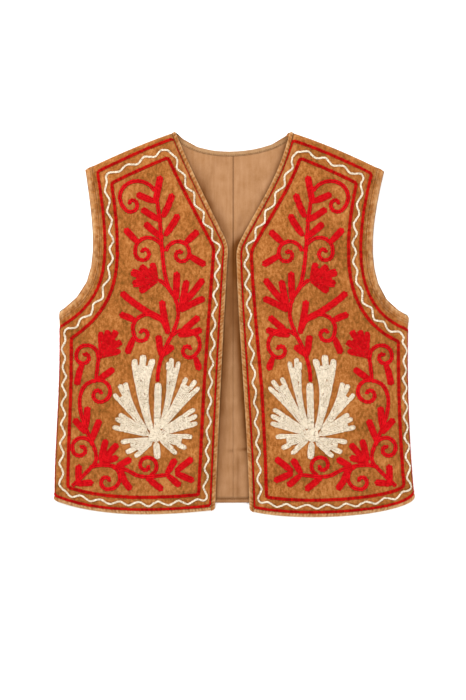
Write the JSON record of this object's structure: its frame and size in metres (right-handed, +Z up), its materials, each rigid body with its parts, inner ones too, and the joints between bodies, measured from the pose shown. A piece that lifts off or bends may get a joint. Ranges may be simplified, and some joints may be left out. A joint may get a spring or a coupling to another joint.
{
  "type": "embroidered waistcoat laid flat",
  "caption": "Open-fronted sleeveless velvet waistcoat with chain-stitch vines, palmettes and borders on both fronts, laid flat with its face up.",
  "frame": {"origin": "middle of the garment's outline, on the surface that its back lies on", "axes": "+Z up from the surface to the face, +Y from the hem to the neck, +X to the wearer's left"},
  "size_m": [0.5062, 0.5406, 0.0096],
  "materials": {
    "velvet": "cotton velvet, mottled tan-gold, worn paler at the edges",
    "band": "velvet bands, topstitched and lightly puckered",
    "lining": "matt cotton twill",
    "facing": "matt pale cotton tape",
    "red_thread": "dense wool chain stitch, slight sheen",
    "cream_thread": "dense wool chain stitch, slight sheen"
  },
  "bodies": {
    "root": {"back": "velvet", "lining_left": "lining", "lining_right": "lining", "neck_facing": "facing", "hem_facing": "lining", "right_front": "velvet", "right_armhole_band": "band", "right_front_binding": "band", "right_hem_binding": "band", "right_inner_border": "red_thread", "right_palmette": "cream_thread", "left_front": "velvet", "left_armhole_band": "band", "left_front_binding": "band", "left_hem_binding": "band", "left_inner_border": "red_thread", "left_palmette": "cream_thread"}
  },
  "joints": []
}
